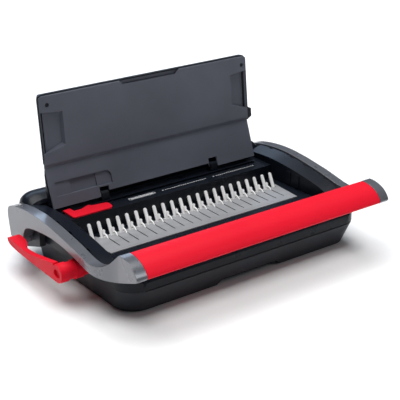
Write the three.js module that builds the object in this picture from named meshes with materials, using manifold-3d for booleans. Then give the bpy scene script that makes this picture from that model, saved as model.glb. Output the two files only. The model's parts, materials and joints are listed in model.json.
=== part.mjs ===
// Comb binding machine: punches a row of slots in a stack of paper and opens a plastic comb
// so that the sheets can be threaded on it. Millimetres, +Z up, the user stands at -Y.
//
// All pieces are written in the machine's own frame: X = 0 is the centre plane, Y = 0 is the line
// of the tine tips and Z = 0 is the table. The whole machine is then moved so that the middle of
// its footprint, lever included, lies at the origin.

import * as THREE from 'three';
import { mergeVertices } from 'three/addons/utils/BufferGeometryUtils.js';
import Module from 'manifold-3d';

const wasm = await Module();
wasm.setup();

// ---------------------------------------------------------------- driving dimensions

const GAP = 0.3; // air between pieces that touch
const CLEAR = 0.4; // running clearance of guides
const RING_PITCH = 14.2875; // 9/16 inch, the pitch of plastic combs
const TINES = 22;
const RINGS = TINES - 1;

const FOOT_HEIGHT = 2.2;
const TRAY_BOTTOM = 1.5;
const SEAM = 33; // height of the joint between base tray and upper housing
const WALL = 2.5;

// Plans of the case. Its right side runs outwards from the waist to the front corner.
const WAIST = 5;
const TRAY_FOOT = { left: -177, right: 181, cornerX: 187, front: -128, rear: 98 };
const TRAY_RIM = { right: 186, front: -141, rear: 104 };
const HOUSING = { left: -186, right: 186, cornerX: 192, front: -141, rear: 118 };
const CORNER = { radius: 30, frontRight: 24 };

const FRONT_DECK = 50.4; // height of the deck in front of the opener plate
const PLATE_SEAT = 49.2;
const PLATE = { halfX: 156, front: -58, rear: -4.5, top: 51, thickness: 1.5 };
const TROUGH = { halfX: 160, front: -15, rear: 20, floor: 42 }; // where the comb lies
const DECK = { halfX: 171.5, rear: 70.6, top: 70 }; // raised deck over the punch
const THROAT = { halfX: 160, front: 42, rear: 48 }; // slot that takes the paper
const SIDE_COVER = { inner: 172, outer: 193.4, foot: 49.5, rear: 70.6, lip: 7, lean: 0.14 };
const REAR_COVER = { front: 71, halfX: 193.4, straight: 170, foot: 49.5, top: 88.5 };

const TINE = { width: 4.8, thickness: 1.6, footY: -12.6, tipY: 0, tipZ: 69, footZ: 43 };
const SLIDER = { bottom: 45.8, thickness: 1.1, halfX: 150, front: -50, rear: -15.5 };
const HOOK = { from: 2.95, to: 4.35, blade: 0.9, barb: 5 }; // across X, from the middle of a tine
const SLOT = { from: 2.65, to: 4.65, front: -44, rear: -13.4 }; // in the opener plate, beside a tine

const HANDLE_AXIS = { y: 84, z: 43 };
const HANDLE_TRAVEL = THREE.MathUtils.degToRad(62);
const ARM = { outer: 210, inner: 195.5, capOuter: 199, capInner: 184.3 };
const SHAFT_RADIUS = 4;
const CAM = { throw: 6, radius: 11.5, from: 150, to: 157 };
const PUNCH_LEVEL = 46;

const LEVER_AXIS = { y: -54, z: 43 };
const LEVER_SHAFT_RADIUS = 2.5;
const CRANK = { throw: 18.5, pinRadius: 2, from: 178.5, to: 181 };
const BUSH = { handle: 6, lever: 3.9, seat: 186 }; // outer radii, and where a lever bush's flange sits

const LID_AXIS = { y: 56, z: 78 };
const LID_PIN_RADIUS = 2.5;
const LID_LEAN = THREE.MathUtils.degToRad(6);
const LID = { left: -169.7, right: 165, face: 6, ridge: 54, top: 144.5, back: 17, corner: 6 };

const MACHINE_SHIFT = { x: 9, y: 33.75 }; // puts the middle of the footprint at the origin

// ---------------------------------------------------------------- materials

const finish = (color, roughness, metalness = 0) =>
  new THREE.MeshStandardMaterial({ color, roughness, metalness });

const charcoal = finish(0x2a2c30, 0.55);
const black = finish(0x14171d, 0.35);
const slate = finish(0x45484f, 0.6);
const silver = finish(0x9a9fa8, 0.35, 0.3);
const red = finish(0xe0202f, 0.4);
const rubber = finish(0x1a1a1a, 0.9);
const steel = finish(0xb5b9bf, 0.35, 1);
const bright = finish(0xe4e6ea, 0.3, 0.8);
const nylon = finish(0xd9d6cc, 0.6);

// ---------------------------------------------------------------- shape helpers

// A closed BufferGeometry as a solid that can be joined and cut.
function toSolid(geometry) {
  const bare = geometry.clone();
  bare.deleteAttribute('normal');
  bare.deleteAttribute('uv');
  const merged = mergeVertices(bare, 1e-4);
  return new wasm.Manifold(new wasm.Mesh({
    numProp: 3,
    vertProperties: new Float32Array(merged.attributes.position.array),
    triVerts: new Uint32Array(merged.index.array),
  }));
}

function toGeometry(solid) {
  const mesh = solid.getMesh();
  const geometry = new THREE.BufferGeometry();
  geometry.setAttribute('position', new THREE.BufferAttribute(mesh.vertProperties.slice(), 3));
  geometry.setIndex(new THREE.BufferAttribute(mesh.triVerts.slice(), 1));
  geometry.computeVertexNormals();
  return geometry;
}

const join = (...solids) => solids.reduce((sum, solid) => sum.add(solid));
const cut = (solid, ...tools) => tools.reduce((rest, tool) => rest.subtract(tool), solid);

function shapeOf(outline) {
  if (outline instanceof THREE.Shape) return outline;
  return new THREE.Shape(outline.map(([a, b]) => new THREE.Vector2(a, b)));
}

function extrude(outline, depth, curveSegments = 8, steps = 1) {
  return new THREE.ExtrudeGeometry(shapeOf(outline), { depth, steps, bevelEnabled: false, curveSegments });
}

// Outline in (Y, Z), swept from x0 to x1; a prism that is reshaped later needs steps along X.
function prismX(outline, x0, x1, curveSegments, steps) {
  const axes = new THREE.Matrix4().set(0, 0, 1, x0, 1, 0, 0, 0, 0, 1, 0, 0, 0, 0, 0, 1);
  return toSolid(extrude(outline, x1 - x0, curveSegments, steps).applyMatrix4(axes));
}

// Outline in (X, Z), swept from y0 to y1.
function prismY(outline, y0, y1, curveSegments) {
  const axes = new THREE.Matrix4().set(1, 0, 0, 0, 0, 0, -1, y1, 0, 1, 0, 0, 0, 0, 0, 1);
  return toSolid(extrude(outline, y1 - y0, curveSegments).applyMatrix4(axes));
}

// Outline in (X, Y), swept from z0 to z1.
function prismZ(outline, z0, z1, curveSegments) {
  return toSolid(extrude(outline, z1 - z0, curveSegments).translate(0, 0, z0));
}

function box([x0, x1], [y0, y1], [z0, z1]) {
  const geometry = new THREE.BoxGeometry(x1 - x0, y1 - y0, z1 - z0);
  return toSolid(geometry.translate((x0 + x1) / 2, (y0 + y1) / 2, (z0 + z1) / 2));
}

// Round bar along X.
function rodX(radius, x0, x1, { y, z }, sides = 20) {
  const geometry = new THREE.CylinderGeometry(radius, radius, x1 - x0, sides);
  return toSolid(geometry.rotateZ(Math.PI / 2).translate((x0 + x1) / 2, y, z));
}

// Round bar along Z.
function rodZ(radius, z0, z1, x, y, sides = 16) {
  const geometry = new THREE.CylinderGeometry(radius, radius, z1 - z0, sides);
  return toSolid(geometry.rotateX(Math.PI / 2).translate(x, y, (z0 + z1) / 2));
}

function mirrored(solid) {
  return solid.mirror([1, 0, 0]);
}

// Plan of the case with rounded corners, shrunk by inset.
function plan({ left, right, cornerX = right, front, rear }, inset = 0) {
  const [x0, x1, xc, y0, y1] = [left + inset, right - inset, cornerX - inset, front + inset, rear - inset];
  const [r, rc] = [CORNER.radius - inset, CORNER.frontRight - inset];
  const shape = new THREE.Shape();
  shape.moveTo(x0 + r, y0);
  shape.lineTo(xc - rc, y0);
  shape.absarc(xc - rc, y0 + rc, rc, -Math.PI / 2, 0);
  shape.lineTo(x1, WAIST);
  shape.lineTo(x1, y1 - r);
  shape.absarc(x1 - r, y1 - r, r, 0, Math.PI / 2);
  shape.lineTo(x0 + r, y1);
  shape.absarc(x0 + r, y1 - r, r, Math.PI / 2, Math.PI);
  shape.lineTo(x0, y0 + r);
  shape.absarc(x0 + r, y0 + r, r, Math.PI, Math.PI * 1.5);
  return shape;
}

// Smooth curve through hand-set points, as a list of points.
function smooth(points, divisions) {
  const curve = new THREE.SplineCurve(points.map(([a, b]) => new THREE.Vector2(a, b)));
  return curve.getPoints(divisions).map((p) => [p.x, p.y]);
}

// Moves every point of a solid by a rule, keeping how its faces join.
function reshape(solid, rule) {
  return solid.warp((point) => {
    const [x, y, z] = rule(point[0], point[1], point[2]);
    point[0] = x;
    point[1] = y;
    point[2] = z;
  });
}

const tineX = (index) => (index - (TINES - 1) / 2) * RING_PITCH;
const ringX = (index) => (index - (RINGS - 1) / 2) * RING_PITCH;
const each = (count, make) => Array.from({ length: count }, (_, index) => make(index));

// ---------------------------------------------------------------- base tray, feet and drawer

const DRAWER = { left: -150, front: 12, rear: 66, bottom: 4.4, top: 24, wall: 1.5 };
const LIFT = { left: -43, right: 62, slant: 7, height: 8.5, depth: 9 };
const FOOT = { radius: 8, x: 150, front: -104, rear: 74 };
const SCREW = { shank: 1.5, head: 3.2, boss: 5 };
const SCREW_PLACES = [[-150, -84], [150, -84], [-100, 93], [100, 93]];
const FOOT_PLACES = [-1, 1].flatMap((side) => [FOOT.front, FOOT.rear].map((y) => [side * FOOT.x, y]));

// Widens a straight-walled block from the tray's foot outline at its bottom to its rim outline.
function flareToRim(solid) {
  return reshape(solid, (x, y, z) => {
    const t = (z - TRAY_BOTTOM) / (SEAM - TRAY_BOTTOM);
    const along = (y - TRAY_FOOT.front) / (TRAY_FOOT.rear - TRAY_FOOT.front);
    const rimY = TRAY_RIM.front + along * (TRAY_RIM.rear - TRAY_RIM.front);
    return [x * (1 + t * (TRAY_RIM.right / TRAY_FOOT.right - 1)), y + t * (rimY - y), z];
  });
}

// Lifting notch under the front edge; grow makes the thicker form that keeps a wall around it.
function liftingNotch(grow) {
  const { left, right, slant, height, depth } = LIFT;
  const outline = [
    [left - grow, 0], [right + grow, 0],
    [right - slant + grow, height + grow], [left + slant - grow, height + grow],
  ];
  return prismY(outline, TRAY_RIM.front - 5, TRAY_FOOT.front + depth + grow);
}

function baseTray() {
  const outer = flareToRim(prismZ(plan(TRAY_FOOT), TRAY_BOTTOM, SEAM));
  const hollow = flareToRim(prismZ(plan(TRAY_FOOT, WALL), TRAY_BOTTOM + WALL, SEAM + 1));
  const bosses = SCREW_PLACES.map(([x, y]) => rodZ(SCREW.boss, TRAY_BOTTOM + 1, 12, x, y));
  const shanks = SCREW_PLACES.map(([x, y]) => rodZ(SCREW.shank + GAP, 0, 13, x, y, 12));
  const heads = SCREW_PLACES.map(([x, y]) => rodZ(SCREW.head + GAP, 0, 8, x, y, 12));
  const recesses = FOOT_PLACES.map(([x, y]) => rodZ(FOOT.radius + GAP, 0, FOOT_HEIGHT + GAP, x, y));
  const drawerMouth = box([TRAY_FOOT.right - 10, TRAY_RIM.right + 5],
    [DRAWER.front - CLEAR, DRAWER.rear + CLEAR], [TRAY_BOTTOM + WALL, DRAWER.top + CLEAR]);
  const shell = cut(outer, cut(hollow, liftingNotch(WALL)), liftingNotch(0), drawerMouth);
  return cut(join(shell, ...bosses), ...shanks, ...heads, ...recesses);
}

function foot(x, y) {
  return rodZ(FOOT.radius, 0, FOOT_HEIGHT, x, y);
}

// Round-headed screw that points up, its head bearing on the boss of the tray.
function caseScrew(x, y) {
  const [headZ, bearing, tip] = [6.2, 8 - GAP, 26];
  const profile = [
    [0, headZ], [SCREW.head - 0.8, headZ], [SCREW.head, headZ + 0.7],
    [SCREW.head, bearing], [SCREW.shank, bearing], [SCREW.shank, tip - 1.5], [0, tip],
  ];
  const points = profile.map(([r, z]) => new THREE.Vector2(r, z));
  return toSolid(new THREE.LatheGeometry(points, 12).rotateX(Math.PI / 2).translate(x, y, 0));
}

function chipDrawer() {
  const { left, front, rear, bottom, top, wall } = DRAWER;
  const right = TRAY_FOOT.right - WALL - 1;
  const bin = box([left, right], [front, rear], [bottom, top]);
  const inside = box([left + wall, right - wall], [front + wall, rear - wall], [bottom + wall, top + 1]);
  const wallX = (z) => THREE.MathUtils.mapLinear(z, TRAY_BOTTOM, SEAM, TRAY_FOOT.right, TRAY_RIM.right);
  const face = prismY([[right - 1, bottom], [wallX(bottom), bottom], [wallX(top), top], [right - 1, top]],
    front, rear);
  const pull = prismY([[right + 1.2, top - 9], [right + 12, top - 9], [right + 12, top - 3],
    [right + 1.2, top - 3]], front + 12, rear - 12);
  return cut(join(bin, face), inside, pull);
}

// ---------------------------------------------------------------- upper housing and covers

// Outline of the housing over its middle, seen from the side, lowered by the depth given.
function deckProfile(depth, floor) {
  const front = HOUSING.front + depth;
  return [
    [front, floor], [front, 44 - depth / 2], [front + 1.8, 47.6 - depth], [front + 6, FRONT_DECK - depth],
    [PLATE.front - 1.5, FRONT_DECK - depth], [PLATE.front - 1.5, PLATE_SEAT - depth],
    [TROUGH.front + depth, PLATE_SEAT - depth], [TROUGH.front + depth, TROUGH.floor - depth],
    [TROUGH.rear + depth, TROUGH.floor - depth], [TROUGH.rear + depth, DECK.top - depth],
    [DECK.rear - depth, DECK.top - depth], [DECK.rear - depth, floor],
  ];
}

// Floor of the raised walls: what carries the side covers and the rear cover.
function ledgeProfile(depth, floor) {
  const [front, rear] = [HOUSING.front + depth, HOUSING.rear - depth];
  return [
    [front, floor], [front, 44 - depth / 2], [front + 1.8, 47.6 - depth], [front + 6, PLATE_SEAT - depth],
    [rear, PLATE_SEAT - depth], [rear, floor],
  ];
}

function upperHousing() {
  const bottom = SEAM + GAP;
  const outline = prismZ(plan(HOUSING), bottom, DECK.top + 1);
  const skin = join(
    prismX(ledgeProfile(0, bottom), HOUSING.left, HOUSING.cornerX),
    prismX(deckProfile(0, bottom), -DECK.halfX, DECK.halfX),
  ).intersect(outline);
  const inner = prismZ(plan(HOUSING, WALL), bottom - 1, DECK.top);
  const overhang = box([HOUSING.left, HOUSING.right], [TRAY_RIM.rear - WALL, HOUSING.rear],
    [0, bottom + WALL]);
  const hollow = cut(join(
    prismX(ledgeProfile(2, bottom - 1), HOUSING.left, HOUSING.cornerX),
    prismX(deckProfile(2, bottom - 1), -DECK.halfX + WALL, DECK.halfX - WALL),
  ).intersect(inner), overhang, troughBlock(WALL));
  const groove = cut(prismZ(plan(HOUSING, -5), bottom - 1, bottom + 1.4),
    prismZ(plan(HOUSING, 1), 0, DECK.top));
  const shell = cut(skin, hollow, groove, troughBlock(0), ...housingOpenings());
  const posts = SCREW_PLACES.map(([x, y]) => rodZ(SCREW.boss - 0.5, 12 + GAP, PLATE_SEAT - 0.4, x, y));
  const threads = SCREW_PLACES.map(([x, y]) => rodZ(SCREW.shank + GAP, 11, 28, x, y, 12));
  const leverHole = rodX(BUSH.lever + GAP, HOUSING.left - 1, BUSH.seat, LEVER_AXIS);
  const leverRecess = rodX(BUSH.lever + 2.2, BUSH.seat - 0.01, HOUSING.cornerX, LEVER_AXIS);
  const leverBoss = box([183.2, 187.5], [LEVER_AXIS.y - 8, LEVER_AXIS.y + 8], [bottom, PLATE_SEAT - 0.5]);
  return cut(join(shell, leverBoss, ...posts), leverHole, leverRecess, ...threads);
}

// The trough as a block, wide by its own half width; grow gives the walls around it.
function troughBlock(grow) {
  return box([-TROUGH.halfX - grow, TROUGH.halfX + grow], [TROUGH.front - grow, TROUGH.rear + grow],
    [TROUGH.floor - grow, grow > 0 ? PLATE_SEAT - 1 : DECK.top + 1]);
}

function housingOpenings() {
  const sliderWindow = box([-SLIDER.halfX - 1, SLIDER.halfX + 1], [-56, TROUGH.front], [44, 60]);
  const throat = box([-THROAT.halfX, THROAT.halfX], [THROAT.front, THROAT.rear], [60, 80]);
  const barRoom = box([-168, 168], [DECK.rear - 3, HANDLE_AXIS.y + 3], [SEAM, DECK.top - 4]);
  const camWells = [-1, 1].map((side) => {
    const [a, b] = [side * 146, side * 168].sort((p, q) => p - q);
    return box([a, b], [DECK.rear - 3, HOUSING.rear - 10], [SEAM, DECK.top - 4]);
  });
  const forkWells = [-1, 1].map((side) => {
    const [a, b] = [side * 171.6, side * 183].sort((p, q) => p - q);
    return box([a, b], [-80, -32], [44, 60]);
  });
  const handleHoles = rodX(BUSH.handle + GAP, -200, 200, HANDLE_AXIS);
  return [sliderWindow, throat, barRoom, ...camWells, ...forkWells, handleHoles];
}

// Height of the side cover along Y: follows the handle's arm, then falls to the front deck.
const SIDE_CREST = [
  [70.6, 81.4], [60, 82.3], [40, 83.8], [20, 84], [0, 82.8], [-20, 80.8], [-37, 78.4], [-55, 75.4],
  [-73, 71.8], [-86, 68.2], [-97, 63.6], [-107, 58.4], [-115, 54.2], [-122, 51],
];

const SIDE_SLITS = [46, 0, -30, -72]; // breaks in the outer lip, along Y
const SIDE_RIBS = [[-22, -14], [-40, -33]]; // low ribs on the wall that faces the plate

// Hollow rail beside the deck. Its top leans towards the middle of the machine and its outer
// edge overhangs the side wall, up to the handle's arm.
function sideCover() {
  const { inner, outer, foot: footZ, rear, lip, lean } = SIDE_COVER;
  const crest = smooth(SIDE_CREST, 26);
  const under = (drop) => crest.map(([y, z]) => [y, z - drop]).filter(([, z]) => z > footZ);
  const outside = prismX([...crest, [-123.5, footZ], [rear, footZ]], inner, outer);
  const roof = under(WALL).filter(([y]) => y < rear - WALL);
  const inside = prismX([[rear - WALL, roof[0][1]], ...roof, [roof[roof.length - 1][0], footZ - 1],
    [rear - WALL, footZ - 1]], inner + WALL, HOUSING.right - WALL);
  const edge = under(lip);
  const undercut = prismX([[rear + 1, edge[0][1]], ...edge, [edge[edge.length - 1][0] - 15, footZ - 1],
    [rear + 1, footZ - 1]], HOUSING.right, outer + 1);
  const slits = SIDE_SLITS.map((y) => box([outer - 2, outer + 1], [y - 3.5, y + 3.5], [70, 90]));
  const ribs = SIDE_RIBS.map((across) => box([inner - 1.2, inner + 1], across, [footZ + 4, footZ + 25]));
  return reshape(join(cut(outside, inside, undercut, ...slits), ...ribs), (x, y, z) => {
    const inward = (outer - x) / (outer - inner);
    return [x, y, footZ + (z - footZ) * (1 - lean * inward)];
  });
}

// Rounded cover over the handle shaft, behind the lid: hollow, open below and towards the punch.
function rearCover() {
  const { front } = REAR_COVER;
  const punchSide = box([-168, 168], [front - 1, front + 5], [40, DECK.top - 4]);
  return cut(coverBlock(0), coverBlock(WALL), punchSide);
}

const DOME_STEPS = 6; // sections that round each end of the rear cover

// The rear cover as a solid, shrunk by inset: a straight middle between two domed ends.
function coverBlock(inset) {
  const { front, halfX, foot: footZ, top, straight } = REAR_COVER;
  const rear = HOUSING.rear - inset;
  const low = footZ - (inset > 0 ? 1 : 0);
  const crown = smooth([[front + 3 + inset, 84 - inset], [88, top - inset], [102, top - 1 - inset],
    [112 - inset / 2, 82 - inset], [rear - 1, 72 - inset]], 12);
  const profile = [[front + inset, low], [front + inset, 80 - inset], ...crown, [rear, 60], [rear, low]];
  const length = halfX - inset - straight;
  const dome = reshape(prismX(profile, straight, straight + length, 8, DOME_STEPS), (x, y, z) => {
    const round = 1 - Math.sqrt(1 - 0.96 * ((x - straight) / length) ** 2);
    return [x, front + (y - front) * (1 - 0.34 * round), low + (z - low) * (1 - 0.3 * round)];
  });
  return join(prismX(profile, -straight - 0.01, straight + 0.01), dome, mirrored(dome));
}

// Bearing block outside the housing wall, under the side cover, that carries the handle shaft.
function pivotCheek() {
  const outline = [[48, 31], [95, 15], [103, 17], [106, 24], [106, 46], [104, 48.8], [70.6, 48.8],
    [70.6, 66], [48, 66]];
  return cut(prismX(outline, HOUSING.right + GAP, 194.8), rodX(BUSH.handle + GAP, 180, 200, HANDLE_AXIS));
}

// ---------------------------------------------------------------- opener: plate, tines, hooks

const NOTCH = { half: TINE.width / 2 + CLEAR, slant: 4.6 }; // what a tine stands in, wider to the left

// Slotted steel plate. Behind, a notch lets each tine through; beside it a slot guides the hook.
function openerPlate() {
  const { halfX, front, rear, top, thickness } = PLATE;
  const outline = [];
  for (let index = TINES - 1; index >= 0; index -= 1) {
    const x = tineX(index);
    const slotted = index > 0 && index < TINES - 1;
    if (slotted) {
      const middle = (SLOT.from + SLOT.to) / 2;
      outline.push([x + SLOT.to, rear], [x + SLOT.to, SLOT.front], [x + middle, SLOT.front - 2],
        [x + SLOT.from, SLOT.front], [x + SLOT.from, SLOT.rear]);
    } else {
      outline.push([x + NOTCH.half, rear], [x + NOTCH.half, SLOT.rear]);
    }
    const slant = index > 0 ? NOTCH.slant : 0;
    outline.push([x - NOTCH.half, SLOT.rear], [x - NOTCH.half - slant, rear]);
  }
  outline.push([-halfX - 2, rear], [-halfX + 3, front], [halfX - 3, front], [halfX + 2, rear]);
  return prismZ(outline, top - thickness, top);
}

// Sheet-steel strip with one tine at every pitch. The tines lean back and have round tips.
function tineStrip() {
  const { width, thickness, footY, tipY, tipZ, footZ } = TINE;
  const flangeTop = TROUGH.floor + GAP + thickness;
  const flange = box([-TROUGH.halfX + 5, TROUGH.halfX - 5], [footY - 1, 4],
    [TROUGH.floor + GAP, flangeTop]);
  const length = Math.hypot(tipY - footY, tipZ - footZ);
  const blade = new THREE.Shape();
  blade.moveTo(-width / 2, 0);
  blade.lineTo(width / 2, 0);
  blade.lineTo(width / 2, length - width / 2);
  blade.absarc(0, length - width / 2, width / 2, 0, Math.PI);
  const tines = each(TINES, (index) => leaning(extrude(blade, thickness, 3), tineX(index), 0));
  return join(flange, ...tines);
}

// Stands a flat shape up at the lean of the tines, ahead of a tine's back by the distance given.
function leaning(geometry, x, ahead) {
  const { footY, tipY, tipZ, footZ } = TINE;
  const lean = Math.atan2(tipY - footY, tipZ - footZ);
  const placed = geometry.clone().translate(x, 0, ahead).rotateX(Math.PI / 2 - lean);
  return toSolid(placed.translate(0, footY, footZ));
}

// Moving plate under the opener plate: one hook per ring, and a fork at each end.
function hookSlider() {
  const { bottom, thickness, halfX, front, rear } = SLIDER;
  const top = bottom + thickness;
  const plate = box([-halfX, halfX], [front, rear], [bottom, top]);
  const stem = [[-18.4, bottom], [-14, bottom], [-13.8, 50.4], [-10.6, 52.4], [-9.8, 54.4], [-11.6, 54.6],
    [-14.6, 53.6], [-18, 50.6]];
  const blade = extrude([
    [HOOK.blade, 9.6], [HOOK.to, 9.6], [HOOK.to, 13.2], [HOOK.barb, 14.2], [HOOK.barb, 15.4], [3.6, 16.8],
    [HOOK.blade, 16.2],
  ], 1.2);
  const hooks = each(TINES - 2, (index) => {
    const x = tineX(index + 1);
    return join(prismX(stem, x + HOOK.from, x + HOOK.to), leaning(blade, x, TINE.thickness + 0.5));
  });
  const crossbar = box([-177, 177], [front + 3.4, front + 14.8], [bottom, top]);
  return join(plate, crossbar, ...hooks, ...[-1, 1].map(sliderFork));
}

// Fork that straddles the crank pin; its slot is wide enough for the pin's slightly curved path.
function sliderFork(side) {
  const pinY = LEVER_AXIS.y + CRANK.throw * Math.SQRT1_2;
  const half = CRANK.pinRadius + 0.7;
  const [low, high] = [SLIDER.bottom, 62.5];
  const outline = [
    [pinY - half - 3, low], [pinY + half + 3, low], [pinY + half + 3, high], [pinY + half, high],
    [pinY + half, 47], [pinY - half, 47], [pinY - half, high], [pinY - half - 3, high],
  ];
  const fork = prismX(outline, 175, 177);
  return side > 0 ? fork : mirrored(fork);
}

// ---------------------------------------------------------------- opener lever and its shaft

const LEVER = {
  outer: -228, bladeInner: -221, paddleInner: -211.8, hubEnd: -187.4, hubRadius: 12.3,
  barrelRadius: 11, knuckle: { from: -206, to: -195, radius: 12.5 },
};

function openerLever() {
  const { outer, bladeInner, paddleInner, hubEnd, hubRadius, barrelRadius, knuckle } = LEVER;
  const { y, z } = LEVER_AXIS;
  const lower = smooth([[y + 4, z - 11.4], [y + 30, z - 10.8], [y + 60, z - 9.6], [y + 90, z - 9],
    [y + 118, z - 6.4], [y + 126, z - 2]], 14);
  const upper = smooth([[y + 127, z + 1.5], [y + 120, z + 3.4], [y + 95, z + 0.4], [y + 70, z + 0.8],
    [y + 40, z + 5.4], [y + 8, z + 11.6]], 14);
  const blade = prismX([...lower, ...upper], outer, bladeInner);
  const ring = rodX(hubRadius - 0.6, outer, bladeInner, LEVER_AXIS, 28);
  const barrel = join(
    rodX(hubRadius, outer + 2.5, outer + 12, LEVER_AXIS, 28),
    rodX(barrelRadius, outer + 11, hubEnd, LEVER_AXIS, 28),
    rodX(knuckle.radius, knuckle.from, knuckle.to, LEVER_AXIS, 28),
  );
  const paddleSide = [...lower.filter(([a]) => a > y + 84), ...upper.filter(([a]) => a > y + 84)];
  const paddle = prismX(paddleSide, outer, paddleInner).intersect(paddlePlan());
  const hollow = new THREE.CylinderGeometry(1, 1, 6, 20).rotateZ(Math.PI / 2).scale(1, 7.2, 5.6);
  const dimple = toSolid(hollow.translate(outer, y, z));
  const bore = rodX(LEVER_SHAFT_RADIUS + GAP, -222, hubEnd + 1, LEVER_AXIS);
  return cut(join(blade, ring, barrel, paddle), dimple, bore);
}

// Round-ended outline of the lever's grip, seen from above.
function paddlePlan() {
  const { outer, paddleInner, bladeInner } = LEVER;
  const [root, tip] = [LEVER_AXIS.y + 84, LEVER_AXIS.y + 128];
  const edge = smooth([[bladeInner, root], [bladeInner + 3, root + 8], [paddleInner - 1.5, root + 18],
    [paddleInner, root + 29], [paddleInner - 1, tip - 5], [paddleInner - 4, tip - 1], [outer + 6, tip],
    [outer + 2, tip - 3], [outer, tip - 8]], 22);
  return prismZ([[outer, root], ...edge], 20, 60);
}

function leverShaft() {
  return rodX(LEVER_SHAFT_RADIUS, -221.5, 188, LEVER_AXIS);
}

// Crank that stands up and back at rest; its pin points towards the middle of the machine.
function crank(side) {
  const { throw: arm, pinRadius, from, to } = CRANK;
  const { y, z } = LEVER_AXIS;
  const pin = { y: y + arm * Math.SQRT1_2, z: z + arm * Math.SQRT1_2 };
  const web = 4.2 * Math.SQRT1_2;
  const arms = prismX([[y + web, z - web], [pin.y + web, pin.z - web], [pin.y - web, pin.z + web],
    [y - web, z + web]], from, to);
  const eyes = join(rodX(6, from, to, LEVER_AXIS), rodX(4.2, from, to, pin));
  const bore = rodX(LEVER_SHAFT_RADIUS + GAP, from - 1, to + 1, LEVER_AXIS);
  const solid = cut(join(arms, eyes, rodX(pinRadius, 174.9, from + 1, pin)), bore);
  return side > 0 ? solid : mirrored(solid);
}

// Plain bush in the wall and cheek for the handle shaft.
function handleBush() {
  return cut(rodX(BUSH.handle, 181.5, 195, HANDLE_AXIS), rodX(SHAFT_RADIUS + CLEAR, 180, 196, HANDLE_AXIS));
}

// Flanged bush in the housing wall for the lever shaft.
function leverBush() {
  const sleeve = rodX(BUSH.lever, 182.6, 186.5, LEVER_AXIS);
  const flange = rodX(BUSH.lever + 1.8, 186.3, 187, LEVER_AXIS);
  return cut(join(sleeve, flange), rodX(LEVER_SHAFT_RADIUS + CLEAR, 180, 190, LEVER_AXIS));
}

// ---------------------------------------------------------------- handle

// Top edge of an arm from its rear end to the front of the grip, seen from the side.
const ARM_TOP = [
  [103.6, 58], [103.8, 66], [101.5, 73], [95, 77], [80, 80.8], [60, 84], [40, 85.6], [20, 85.8], [0, 84.4],
  [-20, 82.2], [-40, 79.3], [-60, 76], [-80, 71.8], [-94, 69.2], [-107, 68.8], [-119, 71.4], [-130, 77.6],
  [-139, 86], [-146, 93],
];
// Convex section of the grip, from its rear edge over the top to its front lip.
const GRIP_TOP = [
  [-149.5, 95.8], [-158, 95.6], [-167, 93.6], [-175, 90], [-181, 85], [-184.8, 79.6], [-185.5, 76.6],
];
// Lower edge of an arm from the grip's lip to the arch, and down its rear leg.
const ARM_BOTTOM = [
  [-183.5, 74.2], [-172, 69.6], [-158, 64], [-143, 58.8], [-128, 55.8], [-112, 55], [-98, 56.6],
  [-82, 60.2], [-60, 64.8], [-40, 67.6], [-20, 69], [0, 68.6], [20, 66.6], [40, 63.4], [52, 60],
  [59, 54.6], [62.6, 46], [65, 38], [67, 33.4],
];

// Outer and inner edge of the left arm where it narrows to the grip's end cap, seen from above.
const ARM_OUTER_EDGE = [
  [-ARM.outer, -86], [-209, -104], [-204.6, -122], [-200.6, -136], [-ARM.capOuter, -148],
];
const ARM_INNER_EDGE = [
  [-ARM.capInner, -145], [-186, -136], [-191, -127], [-194.6, -118], [-ARM.inner, -104],
];

function handleArm() {
  const side = [...smooth(ARM_TOP, 34), ...smooth(GRIP_TOP, 10), ...smooth(ARM_BOTTOM, 34), [99, 33]];
  const above = [
    [-ARM.outer, 110], ...smooth(ARM_OUTER_EDGE, 10), [-ARM.capOuter, -190],
    [-ARM.capInner, -190], ...smooth(ARM_INNER_EDGE, 8), [-ARM.inner, 110],
  ];
  const solid = prismX(side, -ARM.outer, -ARM.capInner).intersect(prismZ(above, 20, 110));
  return cut(solid, rodX(SHAFT_RADIUS + GAP, -207.6, -190, HANDLE_AXIS));
}

const GRIP = { halfX: 184, wall: 2.6 };

// Lower side of the grip, from the lip back to the rear edge.
const GRIP_UNDER = [[-184, 74.6], [-152, 84], [-149.5, 93]];

function gripCover() {
  const outline = [...smooth(GRIP_TOP, 14), ...GRIP_UNDER];
  const inside = [[-152.4, 92.8], [-158, 92.6], [-166, 90.7], [-173.4, 87.4], [-179, 82.8], [-181.6, 78.6],
    [-181.8, 73], [-152.4, 82]];
  return cut(prismX(outline, -GRIP.halfX, GRIP.halfX), prismX(inside, -GRIP.halfX + 3, GRIP.halfX - 3));
}

function gripBase() {
  const outline = [[-181.4, 76], [-152.8, 84.6], [-152.8, 86.4], [-181.4, 77.8]];
  return prismX(outline, -GRIP.halfX + 3.4, GRIP.halfX - 3.4);
}

// Square steel bar inside the grip.
function gripBeam() {
  return box([-GRIP.halfX + 3.4, GRIP.halfX - 3.4], [-164, -155], [86.4, 90.6]);
}

// Eccentric disc; with the handle down its centre lies up and forward of the shaft.
function cam(side) {
  const angle = HANDLE_TRAVEL / 2;
  const centre = {
    y: HANDLE_AXIS.y - CAM.throw * Math.sin(angle),
    z: HANDLE_AXIS.z + CAM.throw * Math.cos(angle),
  };
  const disc = cut(rodX(CAM.radius, CAM.from, CAM.to, centre, 32),
    rodX(SHAFT_RADIUS + GAP, CAM.from - 1, CAM.to + 1, HANDLE_AXIS));
  return side > 0 ? disc : mirrored(disc);
}

// ---------------------------------------------------------------- punch

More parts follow.
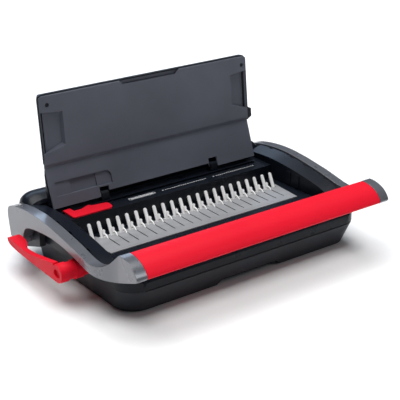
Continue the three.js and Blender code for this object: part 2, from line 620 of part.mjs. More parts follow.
const DIE = { front: 38, throatFront: 42.5, throatRear: 47.5, rear: 53, low: 36, high: 62, halfX: 163 };
const PUNCH = { tip: 41.4, front: 60.5, rear: 66.5, low: 40, high: 52, halfX: 148 };
const PIN = { width: 7.6, height: 2.6 };
const YOKE = { from: CAM.from + 0.5, to: CAM.to - 0.5 };

function diePlate(y0, y1) {
  const holes = each(RINGS, (index) => {
    const [x, halfW, halfH] = [ringX(index), PIN.width / 2 + 0.25, PIN.height / 2 + 0.25];
    return box([x - halfW, x + halfW], [y0 - 1, y1 + 1], [PUNCH_LEVEL - halfH, PUNCH_LEVEL + halfH]);
  });
  return cut(box([-DIE.halfX, DIE.halfX], [y0, y1], [DIE.low, DIE.high]), ...holes);
}

// Strip at the bottom of the throat that the paper's edge stands on.
function paperStop() {
  return box([-DIE.halfX, DIE.halfX], [DIE.throatFront + GAP, DIE.throatRear - GAP], [DIE.low, 41.6]);
}

// Pressure bar with its punches, and at each end a yoke around the cam.
function punchBar() {
  const { tip, front, rear, low, high, halfX } = PUNCH;
  const bar = box([-halfX, halfX], [front, rear], [low, high]);
  const pins = each(RINGS, (index) => {
    const x = ringX(index);
    return box([x - PIN.width / 2, x + PIN.width / 2], [tip, front + 1],
      [PUNCH_LEVEL - PIN.height / 2, PUNCH_LEVEL + PIN.height / 2]);
  });
  return join(bar, ...pins, ...[-1, 1].map(yoke));
}

function yoke(side) {
  const angle = HANDLE_TRAVEL / 2;
  const centreY = HANDLE_AXIS.y - CAM.throw * Math.sin(angle);
  const half = CAM.radius + 0.42;
  const [low, high, wall] = [36.2, 61.2, 2.2];
  const outer = box([YOKE.from, YOKE.to], [PUNCH.front, centreY + half + wall],
    [low - wall, high + wall]);
  const window = box([YOKE.from - 1, YOKE.to + 1], [centreY - half, centreY + half], [low, high]);
  const web = box([PUNCH.halfX - 2, YOKE.from + 1], [PUNCH.front, PUNCH.rear], [PUNCH.low, PUNCH.high]);
  const solid = join(cut(outer, window), web);
  return side > 0 ? solid : mirrored(solid);
}

// ---------------------------------------------------------------- steel frame inside

const FRAME = { from: 164, to: 166 };

// Side plate that holds the die and the handle shaft.
function sideFrame(side) {
  const outline = [[34, 26.5], [89, 26.5], [97, 34], [97, 52], [92, 57], [71, 57], [66, 64], [34, 64]];
  const shaftHole = rodX(SHAFT_RADIUS + CLEAR, FRAME.from - 1, FRAME.to + 1, HANDLE_AXIS);
  const solid = cut(prismX(outline, FRAME.from, FRAME.to), shaftHole);
  return side > 0 ? solid : mirrored(solid);
}

// ---------------------------------------------------------------- paper edge guide

const GUIDE = { left: -158, right: -98, front: 21, back: 40, bottom: 70.3, top: 72.6 };

// Stepped plate on the deck. Its left leg crosses the throat and carries the stop for the paper.
function edgeGuide() {
  const { left, right, front, back, bottom, top } = GUIDE;
  const outline = [
    [left, front + 2], [left + 2, front], [right - 3, front], [right + 1, front + 5],
    [right + 2, back - 5], [right, back - 1], [right - 21, back + 2], [right - 24, back + 6],
    [right - 38, back], [left + 11.5, back], [left + 10.5, 49.5], [left, 49.5],
  ];
  const plate = prismZ(outline, bottom, top);
  const inThroat = [DIE.throatFront + 0.5, DIE.throatRear - 0.5];
  return join(plate, box([left + 1, left + 9.5], inThroat, [49, bottom + 0.5]));
}

// ---------------------------------------------------------------- lid, in its own frame
// The lid's frame has its origin on the hinge axis. Its face is at small Y, its top at high Z.

const DISH = { from: 136.5, low: 76, high: 121, flareDown: 8, flareUp: 3, depth: 6, slope: 2.5 };
const LINER = 2.2;
const LID_HOLE = { inner: 83.5, outer: 98 }; // gaps in the lower edge for the hinge brackets
const LID_SCREW = { x: 158, z: 132, radius: 2.6 };
const EAR = [
  [LID.right - 6, 50], [LID.right, 50], [173, 54.5], [173, 66], [LID.right, 70], [LID.right - 6, 70],
];
const FINGER_NOTCH = { bottom: 43, mouth: 49, depth: 6 };
const EDGE_SLOPE = 9; // how far the back of the lid stands in from its side edges

// Place on the lower panel's face at height z: the panel runs from under the ridge to the lip.
const LOWER_FACE = { topY: 8.6, topZ: 50.5, lipY: -4.6, lipZ: -2.4 };

function lowerY(z) {
  const { topY, topZ, lipY, lipZ } = LOWER_FACE;
  return THREE.MathUtils.mapLinear(z, topZ, lipZ, topY, lipY);
}

function linerPanel(lowest) {
  const { face, ridge, top } = LID;
  const outline = [
    [face, ridge + 1], [face + 0.6, ridge], [LOWER_FACE.topY, LOWER_FACE.topZ], [lowerY(lowest), lowest],
    [lowerY(lowest) + LINER + 0.3, lowest], [LOWER_FACE.topY + LINER + 0.3, LOWER_FACE.topZ + 1],
    [face + LINER + 0.4, ridge + 3], [face + LINER, top], [face + 0.8, top], [face, top - 1],
  ];
  return prismX(outline, LID.left, LID.right).intersect(lidFront(0, top, LID.corner));
}

// Front outline of the lid, wider by grow, with its two upper corners rounded.
function lidFront(grow, high, radius) {
  const [x0, x1] = [LID.left - grow, LID.right + grow];
  const shape = new THREE.Shape();
  shape.moveTo(x0, -20);
  shape.lineTo(x1, -20);
  shape.lineTo(x1, high - radius);
  shape.absarc(x1 - radius, high - radius, radius, 0, Math.PI / 2);
  shape.absarc(x0 + radius, high - radius, radius, Math.PI / 2, Math.PI);
  return prismY(shape, -20, 40);
}

function lidLiner() {
  const { face } = LID;
  const panel = linerPanel(LOWER_FACE.lipZ);
  const middle = box([-LID_HOLE.inner, LID_HOLE.inner], [-20, 20], [-10, 3.8]);
  const holes = [-1, 1].map((side) => {
    const [a, b] = [side * LID_HOLE.inner, side * LID_HOLE.outer].sort((p, q) => p - q);
    return box([a - 0.01, b + 0.01], [-20, 20], [-10, 10.5]);
  });
  const hollows = lidHollows(0);
  const cups = lidHollows(2);
  const pinRoom = rodX(LID_PIN_RADIUS + GAP, -106, 106, { y: 0, z: 0 });
  const screwHoles = [-1, 1].map((side) => rodLidY(3, side * LID_SCREW.x, LID_SCREW.z, face - 1, face + 4));
  return cut(join(cut(panel, middle, ...holes), ...cups), ...hollows, pinRoom, ...screwHoles);
}

// Everything that is sunk into the lid's face; grow gives the walls around it.
function lidHollows(grow) {
  const pockets = POCKETS.map((step) => pocket(step, grow));
  return [lidDish(-1, grow), lidDish(1, grow), fingerNotch(grow), ...pockets];
}

// Recess for a finger in the middle of the upper edge.
function fingerNotch(grow) {
  const { bottom, mouth, depth } = FINGER_NOTCH;
  const high = LID.top + (grow > 0 ? grow - 3.2 : 1);
  const low = LID.top - depth - grow;
  const half = [[mouth + grow, high], [bottom + grow, low]];
  const outline = [...half.map(([x, z]) => [-x, z]), ...half.reverse()];
  return prismY(outline, LID.face - (grow ? 0 : 1), LID.face + 4 + grow);
}

// Round tool along the lid's Y.
function rodLidY(radius, x, z, y0, y1) {
  const geometry = new THREE.CylinderGeometry(radius, radius, y1 - y0, 12);
  return toSolid(geometry.translate(x, (y0 + y1) / 2, z));
}

// Dish at a side edge of the lid, with sloping walls; grow gives the walls around it.
function lidDish(side, grow) {
  const { from, low, high, flareDown, flareUp, depth, slope } = DISH;
  const edge = (side > 0 ? LID.right : -LID.left) + (grow ? grow - 2 : 2);
  const mouth = [[from - grow, low - grow], [edge, low - flareDown - grow], [edge, high + flareUp + grow],
    [from - grow, high + grow]];
  const floor = LID.face + depth + grow;
  const solid = reshape(prismY(mouth, LID.face - (grow ? 0 : 1), floor), (x, y, z) => {
    if (y < floor - 0.1) return [x, y, z];
    return [x > from + 10 ? x - EDGE_SLOPE : x + slope, y, z > (low + high) / 2 ? z - slope : z + slope];
  });
  return side > 0 ? solid : mirrored(solid);
}

// Stepped pocket in the lower panel, left: each step has its own depth, and the last a round corner.
const POCKETS = [
  { left: -161, right: -138, low: 12, high: 30, depth: 1.6, corner: 0.5 },
  { left: -138.5, right: -99, low: 12, high: 30, depth: 4, corner: 0.5 },
  { left: -99.5, right: -76, low: 12, high: 30, depth: 2.4, corner: 8 },
];

function pocket({ left, right, low, high, depth, corner }, grow) {
  const radius = corner + grow;
  const shape = new THREE.Shape();
  shape.moveTo(left - grow, low - grow);
  shape.lineTo(right + grow, low - grow);
  shape.lineTo(right + grow, high + grow - radius);
  shape.absarc(right + grow - radius, high + grow - radius, radius, 0, Math.PI / 2);
  shape.lineTo(left - grow, high + grow);
  const [yLow, yHigh] = [lowerY(low - grow), lowerY(high + grow)];
  const [ahead, behind] = [grow ? 0 : 4, depth + grow];
  const slab = prismX([[yLow - ahead, low - grow], [yLow + behind, low - grow],
    [yHigh + behind, high + grow], [yHigh - ahead, high + grow]], left - grow, right + grow);
  return slab.intersect(prismY(shape, -20, 30));
}

// Outer shell of the lid, open towards the liner.
function lidCover() {
  const { left, right, face, top, back } = LID;
  const high = top + 1.5;
  const side = [
    [face + 1, high], [back - 3, high], [back, high - 5], [back, 60], [back + 1, 30], [back - 4, 4],
    [LOWER_FACE.lipY + 7.5, 0.6], [lowerY(4) + LINER + 1.2, 4],
    [LOWER_FACE.topY + LINER + 0.8, LOWER_FACE.topZ + 2], [face + 1, LID.ridge + 7],
  ];
  const outer = prismX(side, left - 1.5, right + 1.5);
  const shell = outer.intersect(lidFront(1.5, high, LID.corner + 1.5)).intersect(lidDepth(1.5));
  const sheet = 2.2;
  const room = prismX([
    [face - 5, high - sheet], [back - 3.6 - sheet, high - sheet], [back - sheet, high - 6 - sheet],
    [back - sheet, 60], [back + 1 - sheet, 30], [back - 4.6 - sheet, 8], [-20, 8],
  ], left, right);
  const hollow = room.intersect(lidDepth(1.5 - sheet));
  const clearLiner = join(linerEnvelope(), ...lidHollows(2 + GAP));
  const bracketWells = [-1, 1].map((s) => {
    const [a, b] = [s * (LID_HOLE.inner - 0.5), s * (LID_HOLE.outer + 0.5)].sort((p, q) => p - q);
    return box([a, b], [-12, 13], [-10, 12]);
  });
  const ear = cut(prismY(EAR, face + 1.5, face + 7), clearLiner);
  const lugs = [-1, 1].map(hingeLug);
  const bores = rodX(LID_PIN_RADIUS + GAP, -112, 112, { y: 0, z: 0 });
  return cut(join(cut(shell, hollow, clearLiner, ...bracketWells), ear, ...lugs), bores);
}

// The lid's depth over its width: its back is set in from the side edges by a slope; wider by grow.
function lidDepth(grow) {
  const { left, right, face, top, back } = LID;
  const [x0, x1, start] = [left - grow, right + grow, face + 3];
  return prismZ([[x0, -40], [x1, -40], [x1, start], [x1 - EDGE_SLOPE, back + 1.5], [x1 - EDGE_SLOPE, 40],
    [x0 + EDGE_SLOPE, 40], [x0 + EDGE_SLOPE, back + 1.5], [x0, start]], -20, top + 10);
}

// The room that the liner takes in the cover's mouth.
function linerEnvelope() {
  const { left, right, face, top } = LID;
  const outline = [
    [face - 20, top + GAP], [face + LINER + GAP, top + GAP], [face + LINER + 0.4 + GAP, LID.ridge + 3],
    [LOWER_FACE.topY + LINER + 0.7, LOWER_FACE.topZ], [LOWER_FACE.lipY + LINER + 0.7, LOWER_FACE.lipZ - 1],
    [face - 20, LOWER_FACE.lipZ - 1],
  ];
  return prismX(outline, left - GAP, right + GAP);
}

// Eye beside each bracket that turns on the hinge pin.
function hingeLug(side) {
  const [from, to] = [LID_HOLE.outer + 0.8, LID_HOLE.outer + 7];
  const arm = prismX([[0, -4.9], [9, 0], [12, 9], [2, 9], [-1, 4]], from, to);
  const lug = cut(join(rodX(5, from, to, { y: 0, z: 0 }), arm), linerEnvelope());
  return side > 0 ? lug : mirrored(lug);
}

function lidScrew(side) {
  const { x, z, radius } = LID_SCREW;
  const profile = [[0, 0], [radius, 0], [radius, 1.4], [1.2, 1.4], [1.2, 6], [0, 6.6]];
  const points = profile.map(([r, along]) => new THREE.Vector2(r, along));
  return toSolid(new THREE.LatheGeometry(points, 12).translate(side * x, LID.face + 0.8, z));
}

// ---------------------------------------------------------------- hinge parts on the deck

function hingeBracket(side) {
  const [from, to] = [LID_HOLE.inner + 1.5, LID_HOLE.outer - 1];
  const { y, z } = LID_AXIS;
  const base = DECK.top + GAP;
  const post = prismX([[y - 5.4, base], [y + 5.4, base], [y + 4.4, z], [y - 4.4, z]], from, to);
  const eye = rodX(4.4, from, to, LID_AXIS);
  const solid = cut(join(eye, post), rodX(LID_PIN_RADIUS + GAP, from - 1, to + 1, LID_AXIS));
  return side > 0 ? solid : mirrored(solid);
}

function hingePin(side) {
  const solid = rodX(LID_PIN_RADIUS, LID_HOLE.inner + 2, LID_HOLE.outer + 6, LID_AXIS, 16);
  return side > 0 ? solid : mirrored(solid);
}

// ---------------------------------------------------------------- assembly

const machine = new THREE.Group();
machine.position.set(MACHINE_SHIFT.x, MACHINE_SHIFT.y, 0);

function add(name, solid, material, parent = machine) {
  const mesh = new THREE.Mesh(toGeometry(solid), material);
  mesh.name = name;
  parent.add(mesh);
}

// A piece with a twin on the other side of the centre plane: given for +X, or made for each side.
function addPair(name, make, material, parent = machine) {
  const twin = make.length > 0;
  add(`${name}_left`, twin ? make(-1) : mirrored(make()), material, parent);
  add(`${name}_right`, twin ? make(1) : make(), material, parent);
}

function addBase() {
  add('base_tray', baseTray(), charcoal);
  const corner = ([x, y]) => `${y < 0 ? 'front' : 'rear'}_${x < 0 ? 'left' : 'right'}`;
  for (const place of FOOT_PLACES) add(`foot_${corner(place)}`, foot(...place), rubber);
  for (const place of SCREW_PLACES) add(`case_screw_${corner(place)}`, caseScrew(...place), steel);
  add('upper_housing', upperHousing(), black);
  addPair('side_cover', sideCover, black);
  add('rear_cover', rearCover(), black);
  addPair('pivot_cheek', pivotCheek, charcoal);
  addPair('handle_bush', handleBush, nylon);
  addPair('lever_bush', leverBush, nylon);
}

function addInside() {
  addPair('side_frame', sideFrame, steel);
  add('die_plate_front', diePlate(DIE.front, DIE.throatFront), steel);
  add('die_plate_rear', diePlate(DIE.throatRear, DIE.rear), steel);
  add('paper_stop', paperStop(), steel);
  add('punch_bar', punchBar(), steel);
}

function addOpener() {
  add('opener_plate', openerPlate(), steel);
  add('tine_strip', tineStrip(), bright);
  add('hook_slider', hookSlider(), bright);
  add('opener_lever', openerLever(), red);
  add('lever_shaft', leverShaft(), steel);
  addPair('crank', crank, steel);
}

function addHandle() {
  add('handle_arm_left', handleArm(), silver);
  add('handle_arm_right', mirrored(handleArm()), silver);
  add('grip_cover', gripCover(), red);
  add('grip_base', gripBase(), charcoal);
  add('grip_beam', gripBeam(), steel);
  add('handle_shaft', rodX(SHAFT_RADIUS, -207, 207, HANDLE_AXIS), steel);
  addPair('cam', cam, steel);
}

function addLid() {
  const lid = new THREE.Group();
  lid.position.set(0, LID_AXIS.y, LID_AXIS.z);
  lid.rotation.x = -LID_LEAN;
  machine.add(lid);
  add('lid_liner', lidLiner(), slate, lid);
  add('lid_cover', lidCover(), black, lid);
  addPair('lid_screw', lidScrew, black, lid);
  addPair('hinge_bracket', hingeBracket, black);
  addPair('hinge_pin', hingePin, steel);
}

addBase();
addInside();
addOpener();
addHandle();
addLid();
add('edge_guide', edgeGuide(), red);
add('chip_drawer', chipDrawer(), charcoal);

const root = new THREE.Group();
root.add(machine);

export default root;
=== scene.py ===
"""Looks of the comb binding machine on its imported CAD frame.

Metres, in the part's own frame: +X to the user's right, +Y to the back, +Z up, with the origin
on the table under the middle of the machine. Values called mm are in millimetres.
"""

import json
import math

import bmesh
import bpy
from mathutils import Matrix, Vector


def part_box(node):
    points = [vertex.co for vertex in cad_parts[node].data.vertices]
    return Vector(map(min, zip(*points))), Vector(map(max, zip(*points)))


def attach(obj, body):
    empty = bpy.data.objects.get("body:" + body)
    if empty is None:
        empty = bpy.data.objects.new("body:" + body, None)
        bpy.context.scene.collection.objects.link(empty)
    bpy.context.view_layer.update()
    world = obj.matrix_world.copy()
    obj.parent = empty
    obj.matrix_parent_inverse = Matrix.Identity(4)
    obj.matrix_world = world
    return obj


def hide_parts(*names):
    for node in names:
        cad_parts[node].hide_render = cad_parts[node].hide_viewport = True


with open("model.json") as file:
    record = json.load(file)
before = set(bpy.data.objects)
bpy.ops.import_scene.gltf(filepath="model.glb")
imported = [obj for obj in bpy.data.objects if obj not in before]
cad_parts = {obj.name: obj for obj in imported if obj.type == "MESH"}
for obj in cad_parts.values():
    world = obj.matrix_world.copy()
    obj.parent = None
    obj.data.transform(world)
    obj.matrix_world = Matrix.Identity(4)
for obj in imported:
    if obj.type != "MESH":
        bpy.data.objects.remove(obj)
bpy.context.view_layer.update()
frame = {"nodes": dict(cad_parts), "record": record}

MM = 0.001
ORIGIN_SHIFT = Vector((9.0, 33.75, 0.0))  # mm, from the machine's own frame to the part's


def at(x, y, z):
    """A point given in the machine's own millimetres, in the part's metres."""
    return (Vector((x, y, z)) + ORIGIN_SHIFT) * MM


def add_object(name, data):
    """Puts a new object into the scene."""
    obj = bpy.data.objects.new(name, data)
    bpy.context.scene.collection.objects.link(obj)
    return obj


def add_shape(name, shape):
    """Puts a finished bmesh into the scene as a new object, and frees it."""
    mesh = bpy.data.meshes.new(name)
    shape.to_mesh(mesh)
    shape.free()
    return add_object(name, mesh)


# ---------------------------------------------------------------- camera

CAMERA_PLACE = (-773.8, -1069.8, 616.9)  # mm, in the machine's own frame
CAMERA_YAW = 36.83  # degrees to the right of straight ahead
CAMERA_PITCH = 22.72  # degrees downwards
CAMERA_LENS = 95.5  # mm
SENSOR_WIDTH = 36.0  # mm


def make_camera():
    """The camera stands in front of the machine's left side and looks down on it."""
    data = bpy.data.cameras.new("camera")
    data.lens = CAMERA_LENS
    data.sensor_width = SENSOR_WIDTH
    data.dof.use_dof = False
    camera = add_object("camera", data)
    camera.location = at(*CAMERA_PLACE)
    camera.rotation_euler = (math.radians(90 - CAMERA_PITCH), 0, math.radians(-CAMERA_YAW))
    bpy.context.scene.camera = camera


# ---------------------------------------------------------------- material building blocks

RANGE_SOCKETS = ("From Min", "From Max", "To Min", "To Max")
BEVEL_SAMPLES = 4
EDGE_TURN = 0.8  # cosine of the turn in the surface that counts as a full edge


def set_range(node, limits):
    """Gives a Map Range node its four limits: from low, from high, to low, to high."""
    for socket, limit in zip(RANGE_SOCKETS, limits):
        node.inputs[socket].default_value = limit


class Nodes:
    """A new material with its shader, and short ways to add nodes to it."""

    def __init__(self, name):
        self.material = bpy.data.materials.new(name)
        self.material.use_nodes = True
        self.tree = self.material.node_tree
        self.shader = self.tree.nodes["Principled BSDF"]
        self.place = self.tree.nodes.new("ShaderNodeTexCoord").outputs["Object"]

    def link(self, source, target):
        self.tree.links.new(source, target)

    def stretched(self, scale):
        """The object's coordinates, stretched by a factor along each axis."""
        node = self.tree.nodes.new("ShaderNodeMapping")
        node.inputs["Scale"].default_value = scale
        self.link(self.place, node.inputs["Vector"])
        return node.outputs["Vector"]

    def noise(self, scale, detail, along=(1, 1, 1)):
        """Soft random values around 0.5, with about scale features to the metre."""
        node = self.tree.nodes.new("ShaderNodeTexNoise")
        node.inputs["Scale"].default_value = scale
        node.inputs["Detail"].default_value = detail
        self.link(self.stretched(along), node.inputs["Vector"])
        return node.outputs["Fac"]

    def remap(self, value, *limits):
        """Maps a value from one range to another, with the limits in set_range's order."""
        node = self.tree.nodes.new("ShaderNodeMapRange")
        set_range(node, limits)
        self.link(value, node.inputs["Value"])
        return node.outputs["Result"]

    def multiply(self, a, b):
        node = self.tree.nodes.new("ShaderNodeMath")
        node.operation = "MULTIPLY"
        self.link(a, node.inputs[0])
        self.link(b, node.inputs[1])
        return node.outputs["Value"]

    def mix(self, share, a, b):
        """Mixes two colours, each a socket or an RGB triple."""
        node = self.tree.nodes.new("ShaderNodeMix")
        node.data_type = "RGBA"
        self.link(share, node.inputs["Factor"])
        for socket, value in ((node.inputs[6], a), (node.inputs[7], b)):
            if isinstance(value, tuple):
                socket.default_value = (*value, 1)
            else:
                self.link(value, socket)
        return node.outputs[2]

    def edge_mask(self, radius):
        """1 on the piece's edges and corners, 0 elsewhere."""
        bevel = self.tree.nodes.new("ShaderNodeBevel")
        bevel.samples = BEVEL_SAMPLES
        bevel.inputs["Radius"].default_value = radius
        geometry = self.tree.nodes.new("ShaderNodeNewGeometry")
        dot = self.tree.nodes.new("ShaderNodeVectorMath")
        dot.operation = "DOT_PRODUCT"
        self.link(bevel.outputs["Normal"], dot.inputs[0])
        self.link(geometry.outputs["Normal"], dot.inputs[1])
        return self.remap(dot.outputs["Value"], 1.0, EDGE_TURN, 0.0, 1.0)

    def bump(self, height, distance):
        """Raises the surface's shading by a height from 0 to 1, times the distance in metres."""
        node = self.tree.nodes.new("ShaderNodeBump")
        node.inputs["Distance"].default_value = distance
        self.link(height, node.inputs["Height"])
        self.link(node.outputs["Normal"], self.shader.inputs["Normal"])


# Features to the metre and detail of each noise, and the part of its range that is used.
CLOUDS = (9.0, 3.0)
CLOUD_RANGE = (0.35, 0.65)
RUBS = (60.0, 4.0)
RUB_RANGE = (0.42, 0.66)
SMUDGES = (26.0, 5.0)
SMUDGE_RANGE = (0.3, 0.7)
GRAIN_DETAIL = 2.0
SMUDGE_SPREAD = 0.15  # how far the roughness leaves its value, as a share of it
COAT_ROUGHNESS = 0.15
WORN_RADIUS_MM = 1.2  # how far wear reaches in from an edge


def shade(tone, factor):
    """A lighter or darker tone."""
    return tuple(channel * factor for channel in tone)


def surface(name, tone, *, roughness, metallic=0.0, coat=0.0, specular=0.5, spread=0.12,
            grain=1400.0, grain_mm=0.03, along=(1, 1, 1), worn=1.6, wear=0.35):
    """A moulded, painted or rolled surface: clouded colour, fine grain, smudges and worn edges.

    spread: how far the clouds leave the tone, as a share of it
    grain, grain_mm: how many bumps to the metre, and how high they are
    along: how much finer the clouds, smudges and bumps are along each axis
    worn, wear: the brightness of a worn edge against the tone, and how much of it shows
    """
    nodes = Nodes(name)
    shader = nodes.shader
    shader.inputs["Metallic"].default_value = metallic
    shader.inputs["Coat Weight"].default_value = coat
    shader.inputs["Coat Roughness"].default_value = COAT_ROUGHNESS
    shader.inputs["Specular IOR Level"].default_value = specular

    clouds = nodes.remap(nodes.noise(*CLOUDS, along), *CLOUD_RANGE, 0.0, 1.0)
    base = nodes.mix(clouds, shade(tone, 1 - spread), shade(tone, 1 + spread))
    rubbed = nodes.remap(nodes.noise(*RUBS), *RUB_RANGE, 0.0, wear)
    edges = nodes.multiply(nodes.edge_mask(WORN_RADIUS_MM * MM), rubbed)
    nodes.link(nodes.mix(edges, base, shade(tone, worn)), shader.inputs["Base Color"])

    dullest = roughness * (1 + SMUDGE_SPREAD)
    shiniest = roughness * (1 - SMUDGE_SPREAD)
    smudges = nodes.remap(nodes.noise(*SMUDGES, along), *SMUDGE_RANGE, shiniest, dullest)
    nodes.link(smudges, shader.inputs["Roughness"])
    nodes.bump(nodes.noise(grain, GRAIN_DETAIL, along), grain_mm * MM)
    return nodes.material


# ---------------------------------------------------------------- materials, one for each slot

RED = (0.72, 0.009, 0.026)
SILVER = (0.12, 0.126, 0.144)
SLATE = (0.104, 0.112, 0.142)
CHARCOAL = (0.026, 0.029, 0.036)
BLACK = (0.006, 0.008, 0.013)
STEEL = (0.32, 0.325, 0.34)
PLATED = (0.95, 0.95, 0.95)
NYLON = (0.62, 0.60, 0.52)
RUBBER = (0.018, 0.018, 0.018)
WHITE_INK = (0.62, 0.63, 0.64)
PAPER = (0.86, 0.86, 0.86)

MATERIALS = {
    "charcoal": surface("charcoal_plastic", CHARCOAL, roughness=0.5, specular=0.28,
                        grain_mm=0.05),
    "black": surface("black_plastic", BLACK, roughness=0.3, specular=0.17, grain_mm=0.02),
    "slate": surface("slate_plastic", SLATE, roughness=0.55, specular=0.25, grain_mm=0.05),
    "silver": surface("silver_paint", SILVER, roughness=0.3, metallic=0.25, coat=0.8,
                      grain=2600.0, grain_mm=0.012, spread=0.04, worn=1.1, wear=0.2),
    "red": surface("red_plastic", RED, roughness=0.42, specular=0.1, spread=0.03,
                   grain_mm=0.02, worn=1.1),
    "rubber": surface("rubber", RUBBER, roughness=0.85, grain_mm=0.08),
    "steel": surface("rolled_steel", STEEL, roughness=0.42, metallic=0.35, spread=0.08,
                     grain=900.0, grain_mm=0.01, along=(1, 12, 12), worn=1.3),
    "bright": surface("plated_steel", PLATED, roughness=0.4, metallic=0.1, spread=0.05,
                      grain=900.0, grain_mm=0.006, along=(6, 6, 1), worn=1.1),
    "nylon": surface("nylon", NYLON, roughness=0.6, spread=0.06),
}

record = frame["record"]
slot_of = {part["node"]: part["material_slot"] for part in record["subparts"]}
body_of = {node: body for body, nodes in record["behaviour"]["bodies"].items() for node in nodes}


def paint(obj, slot):
    """Gives a piece the material of its slot."""
    obj.data.materials.clear()
    obj.data.materials.append(MATERIALS[slot])


# ---------------------------------------------------------------- pieces with rounded edges

ROUNDING_MM = {
    "base_tray": 1.4, "upper_housing": 0.7, "side_cover_left": 1.2, "side_cover_right": 1.2,
    "rear_cover": 1.6, "pivot_cheek_left": 1.0, "pivot_cheek_right": 1.0,
    "handle_arm_left": 2.6, "handle_arm_right": 2.6, "grip_cover": 0.9, "grip_base": 0.4,
    "opener_lever": 1.5, "lid_liner": 0.6, "lid_cover": 1.4, "edge_guide": 0.5,
    "opener_plate": 0.15, "tine_strip": 0.35, "hook_slider": 0.2, "chip_drawer": 0.5,
    "hinge_bracket_left": 0.4, "hinge_bracket_right": 0.4, "punch_bar": 0.2,
    "lid_screw_left": 0.3, "lid_screw_right": 0.3,
}
ROUNDING_STEPS = 3
WELD_MM = 0.005  # corners closer than this are one corner
FLAT_WITHIN = math.radians(1.0)  # facets that turn by less than this are one flat face
SHARP_FROM = math.radians(28)  # an edge that turns by more than this is rounded


def merged_facets(source):
    """A copy of a mesh in which each flat face is one polygon."""
    mesh = source.copy()
    shape = bmesh.new()
    shape.from_mesh(mesh)
    bmesh.ops.remove_doubles(shape, verts=shape.verts, dist=WELD_MM * MM)
    bmesh.ops.dissolve_limit(shape, angle_limit=FLAT_WITHIN, verts=shape.verts, edges=shape.edges)
    shape.to_mesh(mesh)
    shape.free()
    return mesh


def round_edges(piece, width):
    """Bevels the sharp edges of a piece in its own mesh."""
    bevel = piece.modifiers.new("rounding", "BEVEL")
    bevel.width = width
    bevel.segments = ROUNDING_STEPS
    bevel.limit_method = "ANGLE"
    bevel.angle_limit = SHARP_FROM
    bevel.use_clamp_overlap = True
    depsgraph = bpy.context.evaluated_depsgraph_get()
    piece.data = bpy.data.meshes.new_from_object(piece.evaluated_get(depsgraph))
    piece.modifiers.clear()


def smooth_shading(piece):
    """Shades the roundings smooth and keeps the flat faces flat."""
    piece.data.shade_smooth()
    piece.data.set_sharp_from_angle(angle=SHARP_FROM)
    normals = piece.modifiers.new("weighted_normals", "WEIGHTED_NORMAL")
    normals.keep_sharp = True


def show_rounded(node, width_mm):
    """Shows a copy of a CAD node with rounded edges in its place."""
    piece = add_object(f"{node}_rounded", merged_facets(frame["nodes"][node].data))
    round_edges(piece, width_mm * MM)
    smooth_shading(piece)
    paint(piece, slot_of[node])
    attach(piece, body_of[node])
    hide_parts(node)


# ---------------------------------------------------------------- plain marks printed on the deck
# All sizes in mm, in the machine's own frame.

DECK_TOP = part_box("upper_housing")[1][2] / MM
MARK_ROW_Y = 33.5  # along the front of the raised deck
MARK_CLEAR = 0.01  # off the deck, so that the two faces never share a plane
MARK_TOP = 0.06  # of a mark's upper face over the deck
DASH_ROWS = ((-12, 66), (75, 152))  # from and to along X, each led by a dot
DOT = (2.4, 2.0)  # length and height
DASH = (2.6, 1.2)
DASH_GAP = 1.1
FIRST_DASH = 5  # from the start of the row
SYMBOL = (-66, -24)  # from and to along X
SYMBOL_HEIGHT = 6
SYMBOL_LINE = 0.8
SYMBOL_INSET = (3, 2)  # of its inner plate, along X and Y


def flat_mark(shape, x_range, y_range):
    """Adds a thin flat plate on the raised deck."""
    low = at(x_range[0], y_range[0], DECK_TOP + MARK_CLEAR)
    high = at(x_range[1], y_range[1], DECK_TOP + MARK_TOP)
    centre = (low + high) / 2
    size = high - low
    for vert in bmesh.ops.create_cube(shape, size=1)["verts"]:
        vert.co = centre + vert.co * size


def row_mark(shape, start, size):
    """Adds a mark of a given length and height on the row's middle line."""
    length, height = size
    flat_mark(shape, (start, start + length), (MARK_ROW_Y - height / 2, MARK_ROW_Y + height / 2))


def dash_row(shape, start, end):
    """Adds a dot and a row of dashes."""
    row_mark(shape, start, DOT)
    pitch = DASH[0] + DASH_GAP
    for index in range(int((end - start - FIRST_DASH) / pitch)):
        row_mark(shape, start + FIRST_DASH + index * pitch, DASH)


def framed_symbol(shape):
    """Adds a frame around a plain plate."""
    left, right = SYMBOL
    front = MARK_ROW_Y - SYMBOL_HEIGHT / 2
    rear = MARK_ROW_Y + SYMBOL_HEIGHT / 2
    flat_mark(shape, (left, right), (front, front + SYMBOL_LINE))
    flat_mark(shape, (left, right), (rear - SYMBOL_LINE, rear))
    flat_mark(shape, (left, left + SYMBOL_LINE), (front, rear))
    flat_mark(shape, (right - SYMBOL_LINE, right), (front, rear))
    inset_x, inset_y = SYMBOL_INSET
    flat_mark(shape, (left + inset_x, right - inset_x), (front + inset_y, rear - inset_y))


def deck_marks():
    """Plain marks where the machine carries its printed instructions."""
    shape = bmesh.new()
    for start, end in DASH_ROWS:
        dash_row(shape, start, end)
    framed_symbol(shape)
    marks = add_shape("deck_marks", shape)
    ink = surface("white_print", WHITE_INK, roughness=0.6, spread=0.1, worn=0.7, wear=0.6)
    marks.data.materials.append(ink)
    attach(marks, "case")


# ---------------------------------------------------------------- studio

FLOOR_HALF_WIDTH = 8.0

# The tent of white cloth overhead: one very wide light from slightly behind.
TENT_SOURCE = (-0.03, 0.1, 1.0)
TENT_WIDTH = 58  # degrees
TENT_STRENGTH = 4.0  # watts per square metre

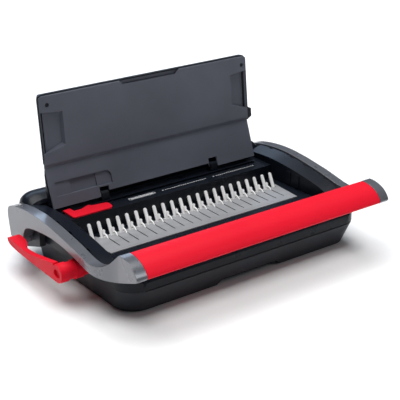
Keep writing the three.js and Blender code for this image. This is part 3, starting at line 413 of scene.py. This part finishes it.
# Soft boxes: place and target in metres, size (width, height) in metres, power in watts.
SOFT_BOXES = {
    "back": {"place": (0.35, 1.6, 1.1), "target": (0, 0, 0.1),
             "size": (1.8, 0.6), "power": 9.0, "colour": (0.6, 0.76, 1.0)},
    "front_right": {"place": (0.7, -1.4, 1.3), "target": (-0.15, -0.13, 0.08),
                    "size": (0.22, 0.9), "power": 4.0, "colour": (0.94, 0.97, 1.0)},
}

SKY_COLOUR = (0.93, 0.95, 1.0)
SKY_HEIGHTS = (0.15, 0.8)  # sines of the angles between which the sky gets brighter
SKY_BRIGHTNESS = (0.02, 0.06)  # below and above them


def make_floor():
    """A wide sheet of pale paper under the machine."""
    shape = bmesh.new()
    bmesh.ops.create_grid(shape, x_segments=1, y_segments=1, size=FLOOR_HALF_WIDTH)
    floor = add_shape("floor", shape)
    paper = surface("floor_paper", PAPER, roughness=0.9, spread=0.01, grain_mm=0.01, worn=1.0)
    floor.data.materials.append(paper)


def turned(direction):
    """The rotation that points a light along a direction."""
    return direction.to_track_quat("-Z", "Y").to_euler()


def soft_box(name, place, target, size, power, colour):
    """A rectangular light that points at its target."""
    data = bpy.data.lights.new(name, "AREA")
    data.shape = "RECTANGLE"
    data.size, data.size_y = size
    data.energy = power
    data.color = colour
    light = add_object(name, data)
    light.location = place
    light.rotation_euler = turned(Vector(target) - Vector(place))


def make_tent():
    """The wide overhead light."""
    data = bpy.data.lights.new("tent", "SUN")
    data.angle = math.radians(TENT_WIDTH)
    data.energy = TENT_STRENGTH
    light = add_object("tent", data)
    light.rotation_euler = turned(-Vector(TENT_SOURCE))


def make_sky():
    """Walls and ceiling: a dim light, brighter overhead, and plain white to the camera."""
    world = bpy.data.worlds.new("studio")
    world.use_nodes = True
    nodes = world.node_tree.nodes
    links = world.node_tree.links
    background = nodes["Background"]
    background.inputs["Color"].default_value = (*SKY_COLOUR, 1)
    direction = nodes.new("ShaderNodeTexCoord").outputs["Generated"]
    parts = nodes.new("ShaderNodeSeparateXYZ")
    ramp = nodes.new("ShaderNodeMapRange")
    ramp.interpolation_type = "SMOOTHSTEP"
    set_range(ramp, SKY_HEIGHTS + SKY_BRIGHTNESS)
    links.new(direction, parts.inputs["Vector"])
    links.new(parts.outputs["Z"], ramp.inputs["Value"])
    seen = nodes.new("ShaderNodeLightPath").outputs["Is Camera Ray"]
    strength = nodes.new("ShaderNodeMath")
    strength.operation = "MAXIMUM"
    links.new(ramp.outputs["Result"], strength.inputs[0])
    links.new(seen, strength.inputs[1])
    links.new(strength.outputs["Value"], background.inputs["Strength"])
    bpy.context.scene.world = world


def make_studio():
    """Floor, walls and lights."""
    make_floor()
    make_sky()
    make_tent()
    for name, box in SOFT_BOXES.items():
        soft_box(name, **box)


make_camera()
make_studio()
for node_name, node_object in frame["nodes"].items():
    paint(node_object, slot_of[node_name])
for node_name, width in ROUNDING_MM.items():
    show_rounded(node_name, width)
deck_marks()

bpy.context.scene.view_settings.view_transform = "Standard"
